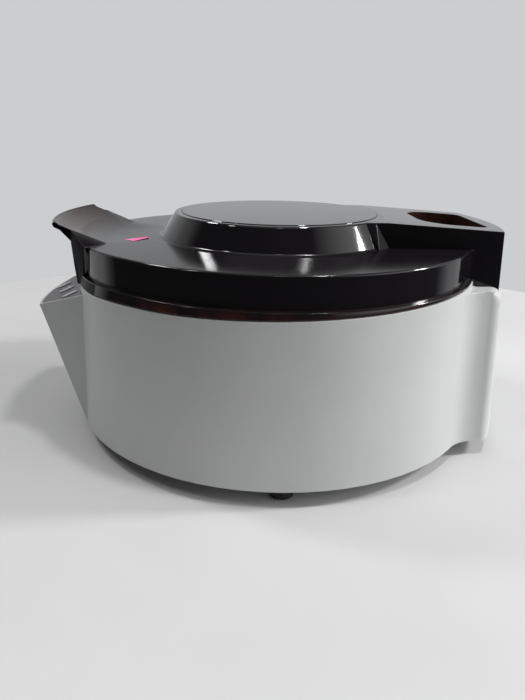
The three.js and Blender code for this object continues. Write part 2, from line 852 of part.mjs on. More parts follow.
// Rotor spider: a thick disc with a hub, an open slot for each holder and a notch for each of its pins
function rotorSpider() {
  const bore = shaftRadius + fitGap;
  const plateLow = spiderTop - spiderThickness;
  const edge = 2 * fitGap * pinRadius;
  let spider = revolveRing([
    [bore, hubBottom], [hubRadius - edge, hubBottom], [hubRadius, plateLow], [spiderRadius - edge, plateLow],
    [spiderRadius, plateLow + edge], [spiderRadius, spiderTop - edge], [spiderRadius - edge, spiderTop],
    [bore, spiderTop],
  ], innerSteps);
  const slotStart = pivotCircle - slotInset;
  const slotPlan = [
    [spiderRadius + overrun, -slotHalfWidth],
    [spiderRadius + overrun, slotHalfWidth],
    ...arc(slotStart, 0, slotHalfWidth, Math.PI / 2, 3 * Math.PI / 2, 2 * arcSteps),
  ];
  const notch = pinRadius + fitGap;
  const notchPlan = [
    [pivotCircle + notch, spiderTop + overrun],
    [pivotCircle - notch, spiderTop + overrun],
    ...arc(pivotCircle, pivotHeight, notch, Math.PI, 2 * Math.PI, 2 * arcSteps),
  ];
  const notchReach = pinReach + runGap / 2;
  for (let i = 0; i < holderCount; i += 1) {
    const turn = i * 360 / holderCount;
    const slot = prism(slotPlan, hubBottom - overrun, spiderTop + overrun);
    const pinNotch = prismX(notchPlan, -notchReach, notchReach).rotate([0, 0, -90]);
    spider = cut(spider, slot.rotate([0, 0, turn]), pinNotch.rotate([0, 0, turn]));
  }
  return spider;
}

function rotorKnob() {
  const low = spiderTop + fitGap;
  const bore = shaftRadius + fitGap;
  const boreTop = spiderTop + knobBore + fitGap;
  let knob = revolve([
    [bore, low], [knobRadius - runGap, low], [knobRadius, low + runGap], [knobRadius, knobTop - 4 * runGap],
    [knobRadius - 4 * runGap, knobTop], [0, knobTop], [0, boreTop], [bore, boreTop], [bore, low],
  ], roundSteps);
  for (let i = 0; i < fluteCount; i += 1) {
    const angle = i * 2 * Math.PI / fluteCount;
    const flute = new THREE.CylinderGeometry(fluteRadius, fluteRadius, knobTop, pinSteps);
    const reach = knobRadius + fluteRadius / 2;
    flute.rotateX(Math.PI / 2).translate(reach * Math.cos(angle), reach * Math.sin(angle), low + knobTop / 2 + overrun);
    knob = knob.subtract(toSolid(flute));
  }
  return knob;
}

// One tube holder hanging at +X, with its two pins along Y
function tubeHolder() {
  const low = pivotHeight - holderDrop;
  const high = pivotHeight + holderRise;
  const collarLow = pivotHeight - holderCollarDrop;
  const step = holderCollarRadius - holderRadius;
  const cup = revolve([
    [0, low], [holderRadius - 2 * step, low], [holderRadius, low + 2 * step], [holderRadius, collarLow - step],
    [holderCollarRadius, collarLow], [holderCollarRadius, high], [holderBore, high],
    [holderBore, low + holderEndThickness], [0, low + holderEndThickness],
  ], smallSteps);
  const pins = [-1, 1].map((side) => {
    const inner = (holderBore + holderCollarRadius) / 2;
    const ends = side > 0 ? [inner, pinReach] : [-pinReach, -inner];
    return rodY(pinRadius, ends[0], ends[1], 0, pivotHeight);
  });
  return join(cup, ...pins);
}

function holderCushion() {
  const low = pivotHeight - holderDrop + holderEndThickness + fitGap;
  const radius = holderBore - fitGap;
  return revolve([
    [0, low], [radius, low], [radius, low + cushionThickness], [radius / 2, low + cushionThickness - runGap],
    [0, low + cushionThickness - runGap],
  ], smallSteps);
}

function controlPanel() {
  let panel = panelOutlineSolid(panelBorder + fitGap, 0, panelThickness);
  for (let i = 0; i < buttonCount; i += 1) panel = panel.subtract(panelCapsule(i, fitGap, -overrun, overrun));
  return panel;
}

function panelButton(index) {
  return panelCapsule(index, 0, -buttonProud, buttonDepth);
}

// Board under the panel with one switch below each button
function controlBoard() {
  const depth = panelWall + buttonDepth;
  const plan = prism(wedgeTopOutline(controlBoardInset), benchGap, lidTop);
  const slab = plan.intersect(panelSlab(depth, depth + boardThickness));
  let board = cut(slab, drumSolid(-runGap, benchGap, lidTop));
  const switchTop = buttonDepth + buttonTravel + fitGap;
  for (let i = 0; i < buttonCount; i += 1) {
    const height = depth - switchTop + boardThickness / 2;
    const block = new THREE.BoxGeometry(switchSide, switchSide, height).translate(0, 0, -switchTop - height / 2);
    const [x, y] = buttonPlace(i);
    const alongX = switchOffset * Math.cos(buttonTurn);
    const alongY = switchOffset * Math.sin(buttonTurn);
    board = board.add(toSolid(onPanel(block, x + alongX, y + alongY, 0)));
  }
  return board;
}

function powerBoard() {
  const low = plateTop + powerBoardLift;
  const top = low + boardThickness;
  const halfX = powerBoardWidth / 2;
  const halfY = powerBoardLength / 2;
  const board = box([powerBoardX - halfX, -halfY, low], [powerBoardX + halfX, halfY, top]);
  const block = box(
    [powerBoardX - transformerSide / 2, -halfY + postRadius, low],
    [powerBoardX + transformerSide / 2, -halfY + postRadius + transformerSide, top + transformerHeight],
  );
  const cans = [-1, 1].map((side) => {
    const can = new THREE.CylinderGeometry(capacitorRadius, capacitorRadius, capacitorHeight, smallSteps);
    can.rotateX(Math.PI / 2).translate(powerBoardX + side * halfX / 2, halfY / 2, top + capacitorHeight / 2 - fitGap);
    return toSolid(can);
  });
  return join(board, block, ...cans);
}

function powerInlet() {
  const front = rearFaceY + fitGap + flangeThickness;
  const halfBodyX = inletBodyWidth / 2;
  const halfBodyZ = inletBodyHeight / 2;
  const lip = flangeThickness;
  const flange = box(
    [inletX - inletFlangeWidth / 2, rearFaceY + fitGap, inletHeight - inletFlangeHeight / 2],
    [inletX + inletFlangeWidth / 2, front, inletHeight + inletFlangeHeight / 2],
  );
  const body = box(
    [inletX - halfBodyX, front - inletBodyDepth, inletHeight - halfBodyZ],
    [inletX + halfBodyX, front, inletHeight + halfBodyZ],
  );
  const cavity = box(
    [inletX - halfBodyX + lip, front - inletCavityDepth, inletHeight - halfBodyZ + lip],
    [inletX + halfBodyX - lip, front + overrun, inletHeight + halfBodyZ - lip],
  );
  const pins = [-1, 0, 1].map((place) => box(
    [
      inletX + place * inletPinPitch - inletPinWidth / 2, front - inletCavityDepth - fitGap,
      inletHeight - inletPinHeight / 2 + (place ? -lip : lip),
    ],
    [
      inletX + place * inletPinPitch + inletPinWidth / 2, front - lip,
      inletHeight + inletPinHeight / 2 + (place ? -lip : lip),
    ],
  ));
  return join(cut(join(flange, body), cavity), ...pins);
}

function switchFrame() {
  const front = rearFaceY + fitGap + flangeThickness;
  const frame = box(
    [rockerX - rockerFrameWidth / 2, rearFaceY + fitGap, inletHeight - rockerFrameHeight / 2],
    [rockerX + rockerFrameWidth / 2, front, inletHeight + rockerFrameHeight / 2],
  );
  const body = box(
    [rockerX - rockerBodyWidth / 2, front - rockerBodyDepth, inletHeight - rockerBodyHeight / 2],
    [rockerX + rockerBodyWidth / 2, front, inletHeight + rockerBodyHeight / 2],
  );
  const cavity = box(
    [rockerX - rockerHalfWidth - fitGap, front - rockerCavityDepth, inletHeight - rockerHalfHeight - fitGap],
    [rockerX + rockerHalfWidth + fitGap, front + overrun, inletHeight + rockerHalfHeight + fitGap],
  );
  return cut(join(frame, body), cavity);
}

// Rocker with a V-shaped face, tilted to its off side about a pivot inside the frame
function powerRocker() {
  const front = rearFaceY + fitGap + flangeThickness;
  const pivotY = front - rockerHalfWidth;
  const nose = rockerHalfHeight - runGap;
  const rise = nose * Math.tan(rockerTilt);
  const outline = [
    [0, -rockerHalfWidth + runGap],
    [nose / 2, -rockerHalfWidth + 2 * runGap],
    [nose, rockerHalfWidth / 2],
    [nose, rockerHalfWidth + rise],
    [0, rockerHalfWidth],
    [-nose, rockerHalfWidth + rise],
    [-nose, rockerHalfWidth / 2],
    [-nose / 2, -rockerHalfWidth + 2 * runGap],
  ].map(([z, y]) => {
    const turned = [
      y * Math.cos(rockerTilt) - z * Math.sin(rockerTilt),
      y * Math.sin(rockerTilt) + z * Math.cos(rockerTilt),
    ];
    return [pivotY + turned[0], inletHeight + turned[1]];
  });
  return prismX(outline, rockerX - rockerHalfWidth, rockerX + rockerHalfWidth);
}

// Fixed hinge bracket that stands on the floor of the hinge bay, clear of the swinging end of the lid
function hingeBracket(side) {
  const foot = hingeBayRadius - fitGap;
  const down = -Math.PI / 2;
  const outline = [
    ...arc(hingeY, hingeHeight, knuckleRadius, down + bracketNeck, Math.PI, 3 * arcSteps),
    ...arc(hingeY, hingeHeight, foot, down + bracketFootFront, down + bracketFootRear, 2 * arcSteps),
  ];
  const plate = prismX(outline, side * fixedEarX - earThickness / 2, side * fixedEarX + earThickness / 2);
  return cut(plate, hingeDrum(hingePinRadius + fitGap, hingePinHalf + overrun));
}

// Notches in the end wall of the lid that pass over the fixed brackets
function bracketNotches() {
  const half = earThickness / 2 + runGap;
  return [-fixedEarX, fixedEarX].map((x) => box(
    [x - half, hingeY, shelfUnder - overrun],
    [x + half, bridgeEndBaseRadius + overrun, hingeHeight + runGap],
  ));
}

// Drum of the housing as a fully open lid sees it, turned back to the closed lid
function drumFromOpenLid() {
  const drum = cut(drumSolid(-runGap, benchGap, lidTop), aboveSeam(runGap));
  const turned = drum.translate([0, -hingeY, -hingeHeight]).rotate([lidSwing, 0, 0]);
  return turned.translate([0, hingeY, hingeHeight]);
}

function hingePin() {
  return hingeDrum(hingePinRadius, hingePinHalf);
}

// Lid side of the hinge: a plate under the bridge with two ears round the pin
function lidHingeArm() {
  const low = hingePlateTop - hingePlateThickness;
  const plate = box([-hingePlateHalf, hingePlateFront, low], [hingePlateHalf, hingePlateRear, hingePlateTop]);
  const ears = [-1, 1].map((side) => {
    const outline = [
      ...arc(hingeY, hingeHeight, knuckleRadius, Math.PI, 2 * Math.PI, 2 * arcSteps),
      [hingeY + knuckleRadius, hingePlateTop - hingePlateThickness / 2],
      [hingeY - knuckleRadius, hingePlateTop - hingePlateThickness / 2],
    ];
    return prismX(outline, side * lidEarX - earThickness / 2, side * lidEarX + earThickness / 2);
  });
  return cut(join(plate, ...ears), hingeDrum(hingePinRadius + fitGap, hingePinHalf + overrun));
}

// Points of a coil round the hinge axis, starting at fromX
function coilPoints(fromX) {
  return Array.from({ length: springTurns * coilSteps + 1 }, (unused, i) => {
    const angle = i * 2 * Math.PI / coilSteps;
    return new THREE.Vector3(
      fromX + springPitch * i / coilSteps,
      hingeY + springRadius * Math.cos(angle),
      hingeHeight + springRadius * Math.sin(angle),
    );
  });
}

// Torsion spring round the hinge pin
function hingeSpring(side) {
  const span = springTurns * springPitch;
  const fromX = side > 0 ? springWire + runGap : -span - springWire - runGap;
  const points = coilPoints(fromX);
  const wire = new THREE.Shape();
  wire.absarc(0, 0, springWire, 0, 2 * Math.PI, false);
  const geometry = new THREE.ExtrudeGeometry(wire, {
    steps: points.length - 1, extrudePath: new THREE.CatmullRomCurve3(points), curveSegments: cornerSteps, bevelEnabled: false,
  });
  const gap = Math.min(...points.slice(coilSteps).map((point, i) => point.distanceTo(points[i]))) - 2 * springWire;
  console.log(`hinge spring: least gap between turns ${gap.toFixed(2)} mm`);
  return toSolid(geometry);
}

// Side faces of the lip: upright at the grip, and spreading to the rim of the lid behind a fold
function lipBlock(inset) {
  const side = lipHalf - inset;
  const rise = (rampEndHeight - lidTop) / (rampEndRadius - rampStartRadius);
  const topAt = (y) => lidTop + rise * (y - lipRootY);
  const noseY = lipRadius + 2 * overrun;
  const root = [[side, lipRootY, lidTop], [side, lipRootY, shelfUnder]];
  const grip = [...root, [side, noseY, topAt(noseY)], [side, noseY, shelfUnder]];
  const spread = [
    ...root,
    [side, lipFoldY, topAt(lipFoldY)],
    [side, lipFoldBaseY, shelfUnder],
    [lipSpreadX - inset, lipSpreadY, lidTop],
    [lipSpreadBaseX - inset, lipSpreadBaseY, shelfUnder],
  ];
  const hull = (corners) => toSolid(new ConvexGeometry(corners.flatMap(([x, y, z]) => [
    new THREE.Vector3(x, -y, z), new THREE.Vector3(-x, -y, z),
  ])));
  return join(hull(grip), hull(spread));
}

// Grip lip and prow: a revolved section between the side faces
function lipOuter() {
  const underR = (prowTopRadius + lipRadius) / 2;
  const underZ = (prowTopHeight + beadHeight) / 2;
  const bead = beadHeight - rampEndHeight;
  const section = revolveRing([
    [rampStartRadius * rootShare, ceiling - overrun],
    [rampStartRadius * rootShare, shelfUnder],
    [prowBaseRadius, shelfUnder],
    [prowMiddleRadius, prowMiddleHeight],
    [prowTopRadius, prowTopHeight],
    [underR + bead / 2, underZ + bead / 2],
    [lipRadius - bead / 2, beadHeight - 2 * bead],
    [lipRadius, beadHeight - bead],
    [lipRadius - bead / 4, beadHeight - bead / 4],
    [lipRadius - bead, beadHeight],
    [lipRadius - 2 * bead + fitGap, beadHeight - bead / 2],
    [rampEndRadius, rampEndHeight],
    [rampStartRadius, lidTop],
    [rampStartRadius - overrun, ceiling - overrun],
  ], drumSteps);
  return section.intersect(lipBlock(0));
}

// Hollow inside the prow
function lipInner() {
  const inner = [
    [linerRadius + overrun, shelfUnder - overrun],
    [prowBaseRadius - wall, shelfUnder - overrun],
    [prowMiddleRadius - wall, prowMiddleHeight],
    [prowTopRadius - wall, prowTopHeight - wall / 2],
    [prowTopRadius - wall, prowTopHeight + wall / 2],
    [linerRadius + overrun, prowTopHeight - wall],
  ];
  return revolveRing(inner, innerSteps).intersect(lipBlock(wall));
}

// Everything below the plane of the bridge's top, lowered by drop
function belowBridgeTop(drop) {
  const block = new THREE.BoxGeometry(cutSize, cutSize, cutSize).translate(0, 0, -cutSize / 2);
  return toSolid(block.rotateX(-bridgeSlope).translate(0, bridgeTopY, bridgeTop - drop));
}

// Bridge from the dome to the hinge, with its walls set in
function bridgeSolid(inset) {
  const top = domeTop - inset;
  const low = shelfHeight - (inset > 0 ? overrun : 0);
  const round = revolve([
    [0, low], [bridgeEndBaseRadius - inset, low], [bridgeEndTopRadius - inset, top], [0, top],
  ], drumSteps);
  const sides = box(
    [-bridgeHalf + inset, bridgeStartY + inset, low - overrun],
    [bridgeHalf - inset, cutSize, domeTop + overrun],
  );
  return round.intersect(sides).intersect(belowBridgeTop(inset));
}

// Hollow corners between the lid skirt and the sides of the bridge
function bridgeFillets() {
  const centreX = bridgeHalf + bridgeFilletRadius;
  const reach = lidRadius + bridgeFilletRadius;
  const centreY = Math.sqrt(reach ** 2 - centreX ** 2);
  const towardsLid = Math.atan2(centreY, centreX) + Math.PI;
  const root = bridgeHalf - lidThickness;
  const hollow = arc(centreX, centreY, bridgeFilletRadius, towardsLid, Math.PI, arcSteps);
  const outline = [[root, hollow[0][1] - 2 * lidThickness], ...hollow, [root, centreY]];
  return [outline, mirrorX(outline)].map((plan) => prism(plan, shelfHeight, lidTop));
}

// Plan of the hand recess, grown by a wall
function recessOutline(grow) {
  const half = recessHalf + grow;
  const front = recessFrontCorner + grow;
  const rear = recessRearCorner + grow;
  const right = [
    ...arc(half - front, recessFrontY + recessFrontCorner, front, -Math.PI / 2, 0, 2 * arcSteps),
    ...arc(half - rear, recessRearY - recessRearCorner, rear, 0, Math.PI / 2, arcSteps),
  ];
  return [...right, ...mirrorX(right)];
}

// Hand recess down to its sloping floor, lowered by drop
function recessSolid(grow, drop) {
  const slope = Math.atan((recessFloorRear - recessFloorFront) / (recessRearY - recessFrontY));
  const above = new THREE.BoxGeometry(cutSize, cutSize, cutSize).translate(0, 0, cutSize / 2);
  above.rotateX(slope).translate(0, recessFrontY, recessFloorFront - drop);
  return prism(recessOutline(grow), ceiling - overrun, domeTop + overrun).intersect(toSolid(above));
}

function lidOuter() {
  const low = shelfUnder;
  const slope = (rimRadius - ledgeRadius) / (stepHeight - ledgeDrop - rimHeight);
  const skirt = revolveFlared([
    [0, low], [rimRadius + slope * (rimHeight - low), low], [ledgeRadius, stepHeight - ledgeDrop],
    [stepRadius, stepHeight],
    [lidRadius, lidTop - lidEdge], [lidRadius - lidEdge / 3, lidTop - lidEdge / 3],
    [lidRadius - lidEdge, lidTop], [0, lidTop],
  ]);
  const dome = revolve([
    [0, ceiling], [domeBaseRadius + domeBaseFillet, ceiling], [domeBaseRadius + domeBaseFillet, lidTop],
    [domeBaseRadius + domeBaseFillet / 3, lidTop + domeBaseFillet / 6], [domeBaseRadius, lidTop + domeBaseFillet / 2],
    [domeTopRadius + domeEdge, domeTop - domeEdge], [domeTopRadius, domeTop], [0, domeTop],
  ], drumSteps);
  return join(skirt, dome, bridgeSolid(0), lipOuter(), ...bridgeFillets());
}

function lidInner() {
  const low = shelfUnder - overrun;
  const skirtRadius = lidRadius - lidThickness;
  const rimInner = mouthRadius + fitGap;
  const skirt = revolveFlared([
    [0, low], [rimInner, low], [rimInner, stepHeight - ledgeDrop - lidThickness],
    [skirtRadius, stepHeight - ledgeDrop],
    [skirtRadius, ceiling], [0, ceiling],
  ], innerSteps);
  const domeInner = domeTop - lidThickness + fitGap;
  const dome = revolve([
    [0, low], [domeBaseRadius - lidThickness, low], [domeBaseRadius - lidThickness, lidTop],
    [domeTopRadius - lidThickness, domeInner], [0, domeInner],
  ], innerSteps);
  return join(skirt, dome, bridgeSolid(lidThickness), lipInner());
}

// What lies below the lid, with a gap: the drum up to the seam, and the pod with its hinge bay
function belowLid() {
  const drum = cut(drumSolid(-2 * seamGap, benchGap, lidTop), aboveSeam(seamGap));
  const pod = podSolid(-seamGap, benchGap, deckHeight + seamGap, deckEdgeRadius);
  return join(drum, cut(pod, hingeDrum(hingeBayRadius - runGap, hingeBayHalf)));
}

function lidShell() {
  const hollow = cut(lidInner(), recessSolid(lidThickness, lidThickness));
  const discSeat = disc(discRadius + fitGap, domeTop - discThickness + discProud - fitGap, domeTop + overrun, drumSteps);
  const swingRoom = [drumFromOpenLid(), ...bracketNotches()];
  return cut(lidOuter(), hollow, recessSolid(0, 0), discSeat, belowLid(), belowSeam(seamGap), ...swingRoom);
}

// Everything beside the bridge below the tilted seam plane, raised by lift
function belowSeam(lift) {
  const block = new THREE.BoxGeometry(cutSize, cutSize, cutSize).translate(0, 0, -cutSize / 2);
  const half = toSolid(block.rotateX(seamTilt).translate(0, 0, rimHeight + lift));
  const side = bridgeHalf + 2 * bridgeFilletRadius;
  return cut(half, box([-side, 0, -cutSize], [side, cutSize, cutSize]));
}

function domeDisc() {
  const high = domeTop + discProud;
  const low = high - discThickness;
  return revolve([
    [0, low], [discRadius, low], [discRadius, high - discProud], [discRadius - discProud, high], [0, high],
  ], drumSteps);
}

// Liner that closes the hollow bridge and prow off from the chamber
function lidLiner() {
  const high = ceiling - fitGap;
  return revolveRing([
    [linerHoleRadius, high - linerThickness], [linerRadius - linerThickness, high - linerThickness],
    [linerRadius - linerThickness, linerBottom], [linerRadius, linerBottom], [linerRadius, high],
    [linerHoleRadius, high],
  ], innerSteps);
}

// Strike plate that hangs from the lid into the latch
function latchStrike() {
  const high = ceiling - fitGap;
  const plate = box([-strikeHalf, -strikeY - strikeThickness, strikeFoot], [strikeHalf, -strikeY, high]);
  const flange = box(
    [-strikeHalf, -strikeY - strikeFlange, high - strikeThickness],
    [strikeHalf, -strikeY, high],
  );
  const window = box(
    [-boltHalfWidth - latchWindow, -strikeY - strikeFlange, boltHeight - boltHalfHeight - latchWindow],
    [boltHalfWidth + latchWindow, -strikeY + overrun, boltHeight + boltHalfHeight + latchWindow],
  );
  return cut(join(plate, flange), window);
}

function latchFrame() {
  const baseTop = boltHeight - solenoidRadius - fitGap;
  const baseLow = baseTop - latchPlateThickness;
  const rear = -latchPlateY;
  const low = plateTop + fitGap;
  const upright = box(
    [-latchPlateHalf, rear - latchPlateThickness, low],
    [latchPlateHalf, rear, baseTop + latchPlateRise],
  );
  const foot = box([-latchPlateHalf, rear, low], [latchPlateHalf, rear + latchFootDepth, low + latchPlateThickness]);
  const base = box([-latchPlateHalf, rear - latchBaseDepth, baseLow], [latchPlateHalf, rear, baseTop]);
  const window = box(
    [-boltHalfWidth - fitGap, rear - latchPlateThickness - overrun, boltHeight - boltHalfHeight - fitGap],
    [boltHalfWidth + fitGap, rear + overrun, boltHeight + boltHalfHeight + fitGap],
  );
  return cut(join(upright, base, foot), window);
}

function latchBolt() {
  const rear = -boltTipY - boltLength;
  const block = prismX([
    [-boltTipY, boltHeight - boltHalfHeight], [-boltTipY, boltHeight],
    [-boltTipY - boltHalfHeight, boltHeight + boltHalfHeight], [rear, boltHeight + boltHalfHeight],
    [rear, boltHeight - boltHalfHeight],
  ], -boltHalfWidth, boltHalfWidth);
  return join(block, rodY(plungerRadius, rear - plungerLength, rear + runGap, 0, boltHeight));
}

function latchSolenoid() {
  const front = -boltTipY - boltLength - fitGap;
  const body = rodY(solenoidRadius, front - solenoidLength, front, 0, boltHeight, roundSteps / 2);
  return body.subtract(rodY(plungerRadius + fitGap, front - plungerLength - runGap, front + overrun, 0, boltHeight));
}

// Finishes, one colour, roughness and metalness for each
const finishes = {
  housing: [0xc9cbca, 0.45, 0],
  smoked: [0x1d1a1c, 0.12, 0],
  panel: [0x57545c, 0.4, 0],
  button: [0xd6d4d6, 0.5, 0],
  rubber: [0x1f1f20, 0.9, 0],
  steel: [0x9b9da0, 0.35, 1],
  bowl: [0xb4b6b8, 0.4, 1],
  aluminium: [0xc2c4c6, 0.38, 1],
  motor: [0x4a4c50, 0.5, 1],
  board: [0x1f5a38, 0.6, 0],
  black: [0x17181a, 0.5, 0],
};

const model = new THREE.Group();
const centred = new THREE.Group();
centred.position.y = (consoleReach - podBaseRadius) / 2;
model.add(centred);

function place(name, solid, finish, parent = centred) {
  const [color, roughness, metalness] = finishes[finish];
  const material = new THREE.MeshStandardMaterial({ color, roughness, metalness });
  const mesh = new THREE.Mesh(toGeometry(solid), material);
  mesh.name = name;
  parent.add(mesh);
  return mesh;
}

// Places a mesh on a circle about the drum axis, turned to face outwards
function placeRound(name, solid, finish, radius, angle) {
  const spot = new THREE.Group();
  spot.rotation.z = angle;
  centred.add(spot);
  const mesh = place(name, solid, finish, spot);
  mesh.position.x = radius;
  return mesh;
}

place('housing_shell', housingShell(), 'housing');
place('base_plate', basePlate(), 'steel');
const footSolid = foot();
for (let i = 0; i < footCount; i += 1) {
  placeRound(`foot_${i + 1}`, footSolid, 'rubber', footCircle, i * 2 * Math.PI / footCount);
}
place('chamber_bowl', chamberBowl(), 'bowl');
place('guard_ring', guardRing(), 'steel');
place('bowl_gasket', bowlGasket(), 'rubber');
place('motor_body', motorBody(), 'motor');
place('motor_plate', motorPlate(), 'steel');
const damperSolid = motorDamper();
for (let i = 0; i < damperCount; i += 1) {
  const angle = Math.PI / 2 + i * 2 * Math.PI / damperCount;
  placeRound(`motor_damper_${i + 1}`, damperSolid, 'rubber', damperCircle, angle);
}
place('control_panel', controlPanel(), 'panel');
place('control_board', controlBoard(), 'board');
place('power_board', powerBoard(), 'board');
place('power_inlet', powerInlet(), 'black');
place('switch_frame', switchFrame(), 'black');
place('power_rocker', powerRocker(), 'black');
place('latch_frame', latchFrame(), 'steel');
place('latch_solenoid', latchSolenoid(), 'motor');
place('latch_bolt', latchBolt(), 'steel');
place('hinge_bracket_left', hingeBracket(-1), 'steel');
place('hinge_bracket_right', hingeBracket(1), 'steel');
place('hinge_pin', hingePin(), 'steel');
place('hinge_spring_left', hingeSpring(-1), 'steel');
place('hinge_spring_right', hingeSpring(1), 'steel');
for (let i = 0; i < buttonCount; i += 1) place(`panel_button_${i + 1}`, panelButton(i), 'button');

place('lid_shell', lidShell(), 'smoked');
place('dome_disc', domeDisc(), 'smoked');
place('lid_liner', lidLiner(), 'smoked');
place('lid_hinge_arm', lidHingeArm(), 'steel');
place('latch_strike', latchStrike(), 'steel');

place('motor_shaft', motorShaft(), 'steel');
place('rotor_spider', rotorSpider(), 'aluminium');
place('rotor_knob', rotorKnob(), 'black');
const holderSolid = tubeHolder();
const cushionSolid = holderCushion();
for (let i = 0; i < holderCount; i += 1) {
  const angle = i * 2 * Math.PI / holderCount;
  placeRound(`tube_holder_${i + 1}`, holderSolid, 'aluminium', pivotCircle, angle);
  placeRound(`holder_cushion_${i + 1}`, cushionSolid, 'rubber', pivotCircle, angle);
}

export default model;
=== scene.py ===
"""Looks of a benchtop centrifuge: smoked lid, light grey housing, steel chamber and swing-out rotor.

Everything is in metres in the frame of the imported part: +Z up, -Y towards the control panel.
"""
import json
import math

import bmesh
import bpy
from mathutils import Matrix, Vector


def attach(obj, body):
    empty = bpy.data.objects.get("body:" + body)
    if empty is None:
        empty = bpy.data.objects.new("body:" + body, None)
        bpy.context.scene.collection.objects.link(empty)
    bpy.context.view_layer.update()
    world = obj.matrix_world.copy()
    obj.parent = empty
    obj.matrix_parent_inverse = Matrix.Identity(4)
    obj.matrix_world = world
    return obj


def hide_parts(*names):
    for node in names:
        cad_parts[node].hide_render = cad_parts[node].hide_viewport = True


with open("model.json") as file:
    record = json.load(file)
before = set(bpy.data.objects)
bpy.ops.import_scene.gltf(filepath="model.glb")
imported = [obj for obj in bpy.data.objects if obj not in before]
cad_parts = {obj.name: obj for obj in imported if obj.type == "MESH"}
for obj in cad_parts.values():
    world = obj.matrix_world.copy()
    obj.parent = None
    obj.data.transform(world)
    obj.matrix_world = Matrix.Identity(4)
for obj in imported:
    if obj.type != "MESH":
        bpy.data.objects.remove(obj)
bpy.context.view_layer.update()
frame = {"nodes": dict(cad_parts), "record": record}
nodes = frame["nodes"]
record = frame["record"]
node_body = {n: b for b, held in record["behaviour"]["bodies"].items() for n in held}
node_slot = {entry["node"]: entry["material_slot"] for entry in record["subparts"]}

# Drum axis in this frame
AXIS_Y = next(j["pos_m"][1] for j in record["behaviour"]["joints"] if j["name"] == "rotor_spin")

# Camera of the photograph, placed from the drum axis
CAMERA_PLACE = Vector((0.5264, AXIS_Y - 0.0243, 0.2443))
CAMERA_FORWARD = Vector((-0.9394, 0.0221, -0.3422))
CAMERA_ROLL = math.radians(1.13)
CAMERA_LENS = 30.86
CAMERA_SENSOR = 36.0

# Stage: the floor, and what the room shows in each direction
FLOOR_RADIUS = 0.62
FLOOR_STEPS = 96
ROOM_DARK = (0.035, 0.035, 0.037)
ROOM_WALL = (0.6, 0.61, 0.62)
ROOM_RIGHT = (1.6, 1.6, 1.6)
ROOM_CEILING = (0.5, 0.5, 0.5)
WALL_SIDE = (-0.35, -0.15)     # soft edge of the wall, along X of the view direction
WALL_TOP = (0.3, 0.75)         # and along Z
RIGHT_START = (0.42, 0.8)      # soft edges of the bright right side, along Y,
RIGHT_LOW = (0.0, 0.15)        # Z
RIGHT_AHEAD = (-0.4, -0.1)     # and X
CEILING_START = (0.84, 0.92)   # soft edge of the ceiling, along Z

# Lamps: name, place, size, power and whether they show in glossy surfaces
LAMP_AIM = (0, 0, 0.1)
LAMPS = [
    ("overhead", (0.19, 0.50, 1.98), 0.16, 10.6, True),
    ("left_back", (-0.51, -1.10, 1.62), 0.24, 8.6, True),
    ("right_back", (-0.057, 1.687, 1.138), 0.22, 21.0, True),
    ("left_top", (0.31, -1.06, 1.70), 0.14, 2.6, True),
    ("front_top", (0.80, 0.0, 1.89), 0.14, 0.5, True),
    ("right_fill", (1.0, 1.7, 1.1), 1.1, 8.1, False),
]

# Skins taken over the CAD solids
MERGE = 1e-6
FLAT = math.radians(0.7)
SHARP = math.radians(34)
CREASE = math.radians(36)
ROUND_STEPS = 2
NORMAL_WEIGHT = 80
SLITS_Y = 0.13                 # the edges of the cooling slits lie beyond this y,
SLITS_X = -0.048               # beyond this x,
SLITS_TOP = 0.1                # and below this height; they stay sharp

# Faces of the lid that take another finish: satin with painted shade below and beside the grip lip, and a
# duller top
PROW_START = 0.1665            # radius beyond which a face belongs to the grip lip
PROW_HEIGHT = 0.1605           # or height over which it does
SATIN_SHADE_REACH = 0.135            # satin faces with painted shade lie in front of the axis by more than this,
SATIN_SHADE_FACING = 0.3             # look up by less than this
SATIN_SHADE_BACK = 0.5               # and to the back by less than this
TOP_LEVEL = 0.161              # the dull top of the lid lies below this height,
TOP_REACH = 0.14               # or in front of the axis by this much,
TOP_FACING = 0.85              # and looks up by this much

# Zones of the smoked plastic, each from where it starts to fade to where it ends; the rim, recess and lip
# zones carry painted light
LOOKS_UP = (0.55, 0.8)
LOOKS_ROUGHLY_UP = (0.3, 0.6)
RIM_TOP = (0.1315, 0.1385)
RIM_BACK = (AXIS_Y + 0.12, AXIS_Y + 0.14)
LIP_START = (AXIS_Y - 0.168, AXIS_Y - 0.15)
RECESS_Y = AXIS_Y + 0.1442     # middle of the hand recess
RECESS_HALF_LENGTH = (0.0275, 0.0285)
RECESS_HALF_WIDTH = (0.0425, 0.0435)
RECESS_TOP = (0.171, 0.1722)
FLAT_TOP = (0.1665, 0.168)
LIP_ROUGHNESS = 0.16           # added on the lip
FLAT_ROUGHNESS = 0.09          # added on the flat top
SMOKE = (0.008, 0.0068, 0.008)
# painted light below: red-brown light shining through the thin rim, the hand recess and the top of the grip
# lip, over the plastic's own dark tint
SMOKE_GLOW = (0.06, 0.018, 0.012)
SMOKE_RECESS = (0.035, 0.014, 0.011)
SMOKE_LIP = (0.024, 0.0125, 0.0115)

# Facets between dome and bridge: x, distance behind the axis, z
FACET_OUTER = [
    (0.0602, 0.0725, 0.1795), (0.0720, 0.0743, 0.1603), (0.0602, 0.0842, 0.1603), (0.0615, 0.0635, 0.1795),
]
FACET_INNER = [(0.0585, 0.0725, 0.1795), (0.0585, 0.0842, 0.1603), (0.0585, 0.0600, 0.1603)]
FACET_ROUNDING = 0.0004

# Blank label: height, corners from the axis, how far each corner lifts, and its sheet
LABEL_TOP = 0.16032
LABEL_PLAN = [(0.038, -0.126), (0.046, -0.1175), (0.0315, -0.1075), (0.024, -0.110)]
LABEL_LIFT = [0.0, 0.0002, 0.0006, 0.0]
LABEL_CUTS = 4
LABEL_THICKNESS = 0.00012

